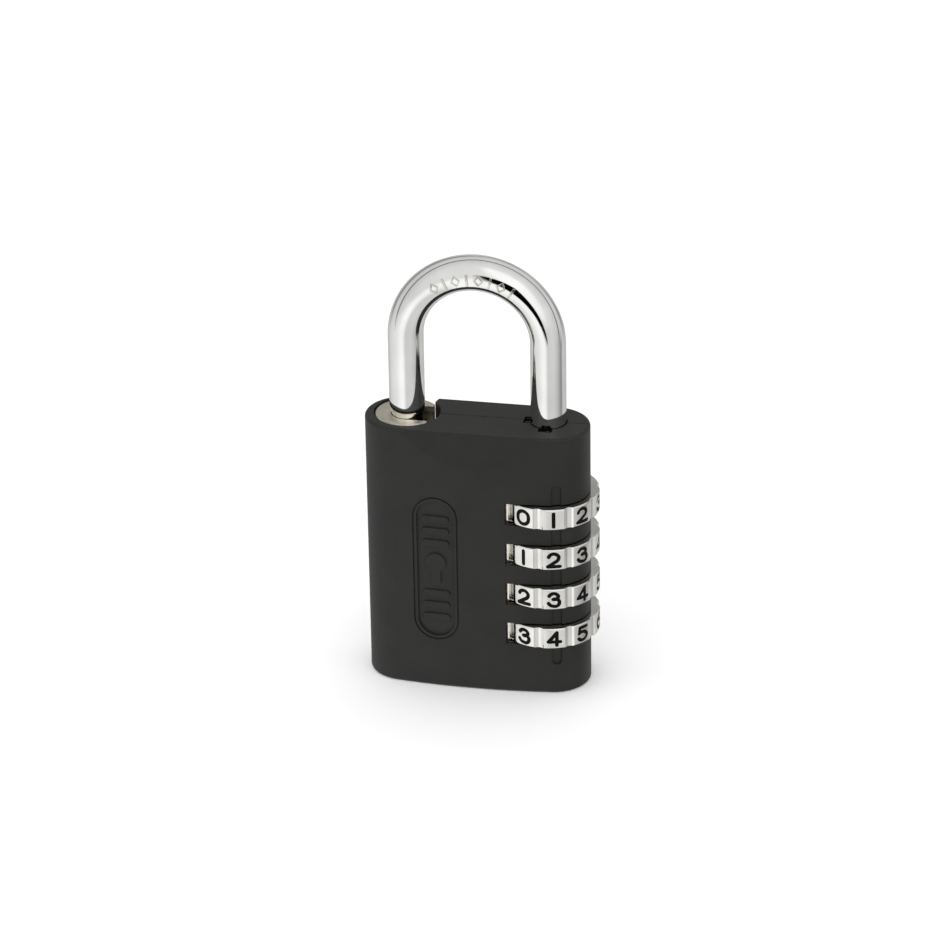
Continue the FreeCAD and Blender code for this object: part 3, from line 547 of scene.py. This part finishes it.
@dataclass
class ShackleMarks:
    """A row of marks stamped on the front of the shackle's bend: lozenges and bars by turns."""

    bend_mm: float = 16.0
    rod_mm: float = 4.0
    marks: int = 8
    pitch_deg: float = 9.4
    lean_deg: float = -3.0  # from the rod's front towards the outside of the bend
    half_mm: float = 1.4
    line_mm: float = 0.42
    proud_mm: float = 0.22
    sunk_mm: float = 0.1

    def lozenge(self, bm: bmesh.types.BMesh) -> None:
        """Adds a flat lozenge frame.

        Args:
            bm: The mesh to add to.
        """
        made = bmesh.ops.create_circle(bm, cap_ends=True, radius=self.half_mm, segments=4)
        face = made["verts"][0].link_faces[0]
        bmesh.ops.scale(bm, vec=(0.8, 1.0, 1.0), verts=made["verts"])
        bmesh.ops.inset_region(bm, faces=[face], thickness=self.line_mm, use_boundary=True)
        bmesh.ops.delete(bm, geom=[face], context="FACES")

    def bar(self, bm: bmesh.types.BMesh) -> None:
        """Adds a flat upright bar.

        Args:
            bm: The mesh to add to.
        """
        made = bmesh.ops.create_grid(bm, x_segments=1, y_segments=1, size=0.5)
        bmesh.ops.scale(bm, vec=(self.line_mm * 1.2, 2 * self.half_mm, 1.0), verts=made["verts"])

    def build(self, crest_mm: float, material: bpy.types.Material) -> bpy.types.Object:
        """Makes the row.

        Args:
            crest_mm: Height of the top of the bend.
            material: Its finish.

        Returns:
            The finished piece.
        """
        whole = bmesh.new()
        centre_z = crest_mm - self.bend_mm - self.rod_mm
        for index in range(self.marks):
            bm = bmesh.new()
            if index % 2:
                self.bar(bm)
            else:
                self.lozenge(bm)
            bmesh.ops.subdivide_edges(bm, edges=bm.edges[:], cuts=3, use_grid_fill=True)
            top = bmesh.ops.extrude_face_region(bm, geom=bm.faces[:])["geom"]
            raised = [item for item in top if isinstance(item, bmesh.types.BMVert)]
            bmesh.ops.translate(bm, vec=(0, 0, self.proud_mm + self.sunk_mm), verts=raised)
            bmesh.ops.translate(bm, vec=(0, 0, -self.sunk_mm), verts=bm.verts[:])
            bmesh.ops.recalc_face_normals(bm, faces=bm.faces[:])
            along = math.radians((index - (self.marks - 1) / 2) * self.pitch_deg)
            for vert in bm.verts:
                self.wrap(vert, along, centre_z)
            part = bpy.data.meshes.new("mark")
            bm.to_mesh(part)
            bm.free()
            whole.from_mesh(part)
            bpy.data.meshes.remove(part)
        bmesh.ops.recalc_face_normals(whole, faces=whole.faces[:])
        mesh = bpy.data.meshes.new("shackle_stamped_marks")
        whole.to_mesh(mesh)
        whole.free()
        piece = bpy.data.objects.new("shackle_stamped_marks", mesh)
        bpy.context.scene.collection.objects.link(piece)
        mesh.materials.append(material)
        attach(piece, Body.SHACKLE.value)
        log.info("shackle_stamped_marks built")
        return piece

    def wrap(self, vert: bmesh.types.BMVert, along: float, centre_z: float) -> None:
        """Bends one point of a flat mark onto the rod, and turns millimetres to metres.

        Args:
            vert: The point, X along the bend, Y outwards and Z proud of the rod.
            along: The mark's angle round the bend from its crest, in radians.
            centre_z: Height of the bend's centre.
        """
        x, y, z = vert.co
        lean = math.radians(self.lean_deg) + y / self.rod_mm
        turn = along + x / self.bend_mm
        out = self.rod_mm + z
        reach = self.bend_mm + out * math.sin(lean)
        vert.co = Vector(
            (reach * math.sin(turn), -out * math.cos(lean), centre_z + reach * math.cos(turn))
        ) * MM


# ---------------------------------------------------------------- studio


@dataclass
class Studio:
    """The floor, the lights and the camera."""

    yaw_deg: float = 11.43  # the lock is seen from this far round towards its wheels
    pitch_deg: float = 26.98
    roll_deg: float = -0.92
    distance_mm: float = 1029.16
    aim_mm: tuple[float, float, float] = (0.0, 0.0, 50.0)
    slide_mm: tuple[float, float] = (0.84, 0.64)
    lens_mm: float = 174.316
    sensor_mm: float = 36.0
    floor_size: float = 6.0
    room_strength: float = 1.2
    # tone of the table by the angle round from the camera, towards the right, in degrees
    table_tones: tuple[tuple[float, float], ...] = (
        (-140.0, 0.5),
        (-110.0, 0.68),
        (-64.0, 0.81),
        (-35.0, 0.98),
        (-20.0, 0.96),
        (-3.0, 0.63),
        (35.0, 0.64),
        (53.0, 0.56),
        (70.0, 0.43),
        (84.0, 0.28),
        (92.0, 0.28),
        (103.0, 0.58),
        (140.0, 0.5),
    )
    # tone of the tent by the cosine of the angle from the camera
    tent_tones: tuple[tuple[float, float], ...] = (
        (-1.0, 0.5),
        (-0.77, 0.5),
        (-0.72, 0.28),
        (-0.5, 0.28),
        (-0.42, 0.58),
        (-0.3, 0.62),
        (0.0, 0.62),
        (0.02, 0.1),
        (0.09, 0.1),
        (0.12, 0.58),
        (0.6, 0.72),
        (1.0, 0.78),
    )

    # where the table gives way to the tent, by the rise of the direction
    table_edge: tuple[float, float] = (-0.36, -0.12)
    # the dark gap: where it comes in from each side, from below and above, and from behind
    gap_sides: tuple[tuple[float, float], ...] = ((-0.36, -0.31), (0.04, 0.0))
    gap_heights: tuple[tuple[float, float], ...] = ((-0.41, -0.37), (0.2, 0.14))
    gap_front: tuple[float, float] = (0.0, -0.1)
    # the lamp's glow: where it comes in from the left and round the camera, and what it adds
    glow_side: tuple[float, float] = (-0.24, -0.06)
    glow_ahead: tuple[float, float] = (0.86, 0.94)
    glow: float = 0.3

    def build_floor(self) -> None:
        """Lays a plain pale floor."""
        bm = bmesh.new()
        bmesh.ops.create_grid(bm, x_segments=1, y_segments=1, size=self.floor_size / 2)
        mesh = bpy.data.meshes.new("studio_floor")
        bm.to_mesh(mesh)
        bm.free()
        floor = bpy.data.objects.new("studio_floor", mesh)
        bpy.context.scene.collection.objects.link(floor)
        material, tree, at = start_material("matt_white_paper")
        fibre = node(
            tree,
            "ShaderNodeTexNoise",
            {"Scale": scale_for(2.0), "Detail": 2.0},
            {"Vector": at},
        )
        rough = ramp(tree, fibre.outputs["Fac"], [(0.3, 0.85), (0.7, 0.95)])
        end_material(
            tree,
            {"Base Color": linear("ffffff"), "Specular IOR Level": 0.1},
            {"Roughness": rough},
        )
        mesh.materials.append(material)
        floor.visible_glossy = False
        log.info("floor laid")

    def direction_part(
        self, tree: bpy.types.NodeTree, at: bpy.types.NodeSocket, axis: Vector
    ) -> bpy.types.NodeSocket:
        """Adds the part of a direction that lies along an axis.

        Args:
            tree: The world's node tree.
            at: The direction's socket.
            axis: The axis, of length 1.

        Returns:
            A socket that runs from -1 to 1.
        """
        dot = node(
            tree, "ShaderNodeVectorMath", {1: tuple(axis)}, {0: at}, operation="DOT_PRODUCT"
        )
        return dot.outputs["Value"]

    def stretch(
        self, tree: bpy.types.NodeTree, source: bpy.types.NodeSocket, low: float, high: float
    ) -> bpy.types.NodeSocket:
        """Adds a straight rise from 0 at one value to 1 at another, held level beyond them.

        Args:
            tree: The world's node tree.
            source: The socket that is stretched.
            low: Its value where the rise starts.
            high: Its value where the rise ends.

        Returns:
            The socket that rises from 0 to 1.
        """
        step = node(
            tree, "ShaderNodeMapRange", {"From Min": low, "From Max": high}, {"Value": source}
        )
        return step.outputs["Result"]

    def combine(
        self,
        tree: bpy.types.NodeTree,
        operation: str,
        first: bpy.types.NodeSocket,
        second: bpy.types.NodeSocket | float,
    ) -> bpy.types.NodeSocket:
        """Adds a math node on two sockets, or on a socket and a number.

        Args:
            tree: The world's node tree.
            operation: What the math node does.
            first: The first socket.
            second: The second socket or a number.

        Returns:
            The result's socket.
        """
        if isinstance(second, float):
            made = node(tree, "ShaderNodeMath", {1: second}, {0: first}, operation=operation)
        else:
            made = node(tree, "ShaderNodeMath", None, {0: first, 1: second}, operation=operation)
        return made.outputs["Value"]

    def build_world(self) -> None:
        """Surrounds the lock with a white tent, as polished metal would show it.

        The table reaches away on every side, whitest to the left of the camera. A thin dark seam
        joins the tent's front to its back. The gap that the lock is seen through shows dark, low
        down in front.
        """
        world = bpy.data.worlds.new("studio_tent")
        world.use_nodes = True
        tree = world.node_tree
        tree.nodes.clear()
        at = node(tree, "ShaderNodeTexCoord").outputs["Generated"]
        yaw, pitch = math.radians(self.yaw_deg), math.radians(self.pitch_deg)
        right = Vector((math.cos(yaw), math.sin(yaw), 0.0))
        near = Vector((math.sin(yaw), -math.cos(yaw), 0.0))
        back_at_us = math.cos(pitch) * near + math.sin(pitch) * Vector((0.0, 0.0, 1.0))
        across = self.direction_part(tree, at, right)
        split = node(tree, "ShaderNodeSeparateXYZ", links={"Vector": at})
        turn = self.combine(tree, "ARCTAN2", across, self.direction_part(tree, at, near))
        round_table = self.stretch(tree, turn, -math.pi, math.pi)
        table = ramp(
            tree, round_table, [((deg + 180) / 360, tone) for deg, tone in self.table_tones]
        )
        ahead = self.stretch(tree, self.direction_part(tree, at, back_at_us), -1.0, 1.0)
        tent = ramp(tree, ahead, [((part + 1) / 2, tone) for part, tone in self.tent_tones])
        rise = self.stretch(tree, split.outputs["Z"], *self.table_edge)
        room = node(
            tree,
            "ShaderNodeMix",
            links={"Factor": rise, 6: table, 7: tent},
            data_type="RGBA",
        )
        gap = self.combine(
            tree,
            "MULTIPLY",
            self.stretch(tree, across, *self.gap_sides[0]),
            self.stretch(tree, across, *self.gap_sides[1]),
        )
        for low, high in self.gap_heights:
            gap = self.combine(
                tree, "MULTIPLY", gap, self.stretch(tree, split.outputs["Z"], low, high)
            )
        gap = self.combine(
            tree, "MULTIPLY", gap, self.stretch(tree, split.outputs["Y"], *self.gap_front)
        )
        lit = self.combine(tree, "SUBTRACT", self.combine(tree, "MULTIPLY", gap, -1.0), -1.0)
        lamp = self.combine(
            tree,
            "MULTIPLY",
            self.stretch(tree, across, *self.glow_side),
            self.stretch(tree, ahead, *self.glow_ahead),
        )
        lamp = self.combine(tree, "ADD", self.combine(tree, "MULTIPLY", lamp, self.glow), 1.0)
        lit = self.combine(tree, "MULTIPLY", lit, lamp)
        background = node(
            tree,
            "ShaderNodeBackground",
            None,
            {
                "Color": room.outputs[2],
                "Strength": self.combine(tree, "MULTIPLY", lit, self.room_strength),
            },
        )
        node(tree, "ShaderNodeOutputWorld", links={"Surface": background.outputs["Background"]})
        bpy.context.scene.world = world

    def add_softbox(
        self,
        name: str,
        place: tuple[float, float, float],
        size: tuple[float, float],
        power: float,
    ) -> None:
        """Adds one rectangular softbox that faces the lock.

        Args:
            name: The light's name.
            place: Its centre in metres.
            size: Its width and height in metres.
            power: Its power in watts.
        """
        data = bpy.data.lights.new(name, "AREA")
        data.shape = "RECTANGLE"
        data.size, data.size_y = size
        data.energy = power
        lamp = bpy.data.objects.new(name, data)
        lamp.location = place
        aim = Vector((0.0, 0.0, 0.05)) - Vector(place)
        lamp.visible_glossy = False
        lamp.rotation_euler = aim.to_track_quat("-Z", "Y").to_euler()
        bpy.context.scene.collection.objects.link(lamp)
        log.info("softbox %s", name)

    def build_lights(self) -> None:
        """Hangs the softboxes."""
        self.add_softbox("overhead_softbox", (-0.05, 0.05, 0.75), (0.9, 0.8), 2.6)
        self.add_softbox("left_softbox", (-0.8, -0.45, 0.45), (0.4, 0.7), 0.8)
        self.add_softbox("right_softbox", (0.85, -0.2, 0.4), (0.3, 0.7), 0.3)

    def build_camera(self) -> None:
        """Sets up the camera."""
        yaw, pitch, roll = (math.radians(a) for a in (self.yaw_deg, self.pitch_deg, self.roll_deg))
        right = Vector((math.cos(yaw), math.sin(yaw), 0.0))
        forward = Vector(
            (-math.sin(yaw) * math.cos(pitch), math.cos(yaw) * math.cos(pitch), -math.sin(pitch))
        )
        up = right.cross(forward)
        right_rolled = math.cos(roll) * right + math.sin(roll) * up
        up_rolled = -math.sin(roll) * right + math.cos(roll) * up
        centre = (
            Vector(self.aim_mm)
            - self.slide_mm[0] * right_rolled
            - self.slide_mm[1] * up_rolled
            - self.distance_mm * forward
        ) * MM
        turn = Matrix((right_rolled, up_rolled, -forward)).transposed()
        data = bpy.data.cameras.new("studio_camera")
        data.sensor_width = self.sensor_mm
        data.lens = self.lens_mm
        data.clip_end = 20.0
        camera = bpy.data.objects.new("studio_camera", data)
        camera.matrix_world = Matrix.Translation(centre) @ turn.to_4x4()
        bpy.context.scene.collection.objects.link(camera)
        bpy.context.scene.camera = camera
        log.info("camera at %s", [round(c, 3) for c in centre])

    def build(self) -> None:
        """Builds the whole studio."""
        self.build_camera()
        self.build_floor()
        self.build_world()
        self.build_lights()
        bpy.context.scene.view_settings.view_transform = "Standard"


def main() -> None:
    """Builds every class in order."""
    logging.basicConfig(level=logging.INFO, format="%(name)s: %(message)s", stream=sys.stdout)
    finishes = Finishes()
    finishes.build()
    finishes.dress_nodes()
    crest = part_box("shackle")[1].z / MM
    ShackleMarks().build(crest, finishes.stamped())
    Studio().build()


if __name__ == "__main__":
    main()
